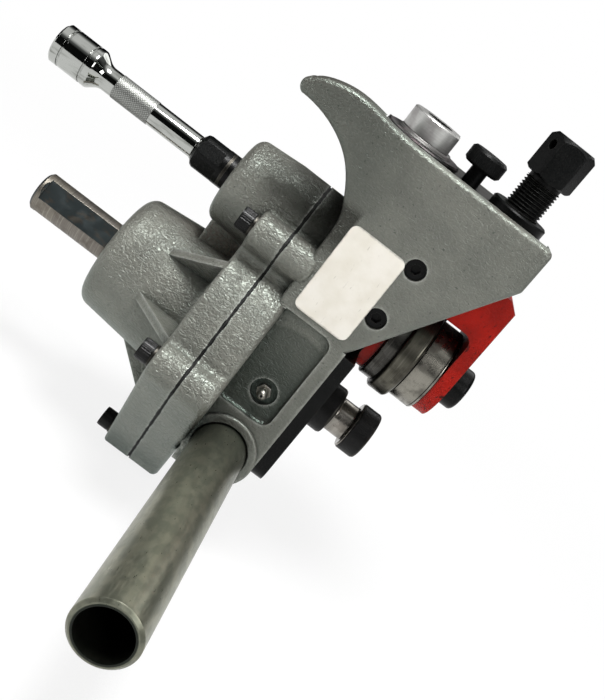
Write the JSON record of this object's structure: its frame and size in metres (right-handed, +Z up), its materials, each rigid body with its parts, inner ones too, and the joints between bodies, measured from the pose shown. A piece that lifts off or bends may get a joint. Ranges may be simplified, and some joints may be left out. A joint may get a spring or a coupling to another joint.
{
  "type": "roll groover",
  "caption": "Geared roll groover head: a drive shaft with knurled roll lands, a groove roll fed down by a hex-headed screw, a hand-drive extension and a tubular support arm.",
  "frame": {"origin": "on the drive shaft's axis, at the middle of the 54 mm grip of its flatted shank", "axes": "+X along the drive shaft from the shank toward the rolls, +Z up along the feed screw, -Y along the support arm"},
  "size_m": [0.3094, 0.326, 0.319],
  "materials": {
    "grey_enamel": "cast aluminium under hammered silver-grey enamel",
    "red_enamel": "worn red enamel on cast iron",
    "black_steel": "black oxide",
    "dark_plate": "dark worn steel",
    "zinc_steel": "zinc plated",
    "bare_steel": "worn bare steel, blackened on the knurled lands",
    "tube_steel": "mill finish pipe, scuffed",
    "bearing_steel": "ground",
    "bronze": "machined bronze",
    "seal_rubber": "matte",
    "chrome": "polished chrome plate",
    "turned_aluminium": "turned"
  },
  "bodies": {
    "frame": {"main_frame": "grey_enamel", "gear_cover": "grey_enamel", "cover_gasket": "seal_rubber", "cover_screws": "black_steel", "cover_washers": "zinc_steel", "cover_dowels": "bare_steel", "support_arm": "tube_steel", "front_plate": "black_steel", "front_plate_screws": "black_steel", "grease_fitting": "zinc_steel", "guide_gibs": "bare_steel", "gib_screws": "black_steel", "top_plate": "dark_plate", "top_plate_screws": "black_steel", "feed_nut": "black_steel", "feed_nut_lock_ring": "black_steel", "gauge_pivot_screw": "black_steel", "drive_shaft_seal": "seal_rubber", "front_drive_bearing": "bearing_steel", "rear_drive_bearing": "bearing_steel", "main_drive_bearing": "bearing_steel", "pinion_seal": "seal_rubber", "pinion_front_bush": "bronze", "pinion_rear_bush": "bronze"},
    "drive": {"drive_shaft": "bare_steel", "drive_gear": "bare_steel", "gear_key": "bare_steel", "gear_retaining_ring": "black_steel"},
    "pinion": {"pinion_shaft": "black_steel", "coupler_ring": "zinc_steel", "extension_bar": "chrome", "bar_detent_ball": "bearing_steel"},
    "slide": {"roll_housing": "red_enamel", "roll_shaft": "black_steel", "screw_keeper_pins": "bare_steel", "thrust_washer": "bare_steel"},
    "groove_roll": {"groove_roll": "bare_steel", "roll_needle_bearing": "bearing_steel"},
    "feed_screw": {"feed_screw": "black_steel"},
    "gauge": {"depth_gauge": "turned_aluminium"},
    "depth_screw": {"depth_screw": "black_steel"}
  },
  "joints": [
    {"name": "drive_spin", "type": "hinge", "parent": "frame", "child": "drive", "pos_m": [0, 0, 0], "axis": [1, 0, 0], "continuous": true},
    {"name": "pinion_spin", "type": "hinge", "parent": "frame", "child": "pinion", "pos_m": [0, 0, 0.079], "axis": [1, 0, 0], "continuous": true},
    {"name": "slide_travel", "type": "slide", "parent": "frame", "child": "slide", "axis": [0, 0, 1], "range_m": [-0.0065, 0.012]},
    {"name": "feed_turn", "type": "hinge", "parent": "slide", "child": "feed_screw", "pos_m": [0.2038, 0, 0.18], "axis": [0, 0, 1], "range_deg": [-1171, 2161]},
    {"name": "groove_roll_spin", "type": "hinge", "parent": "slide", "child": "groove_roll", "pos_m": [0.2074, 0, 0.06], "axis": [1, 0, 0], "continuous": true},
    {"name": "gauge_turn", "type": "hinge", "parent": "frame", "child": "gauge", "pos_m": [0.1374, 0, 0.16], "axis": [0, 0, 1], "continuous": true},
    {"name": "depth_screw_turn", "type": "hinge", "parent": "slide", "child": "depth_screw", "pos_m": [0.1712, 0, 0.14], "axis": [0, 0, 1], "range_deg": [-1620, 2880]}
  ],
  "couplings": [
    {"joint": "pinion_spin", "follows": "drive_spin", "ratio": -3.1579},
    {"joint": "feed_turn", "follows": "slide_travel", "rad_per_m": 3141.6}
  ]
}
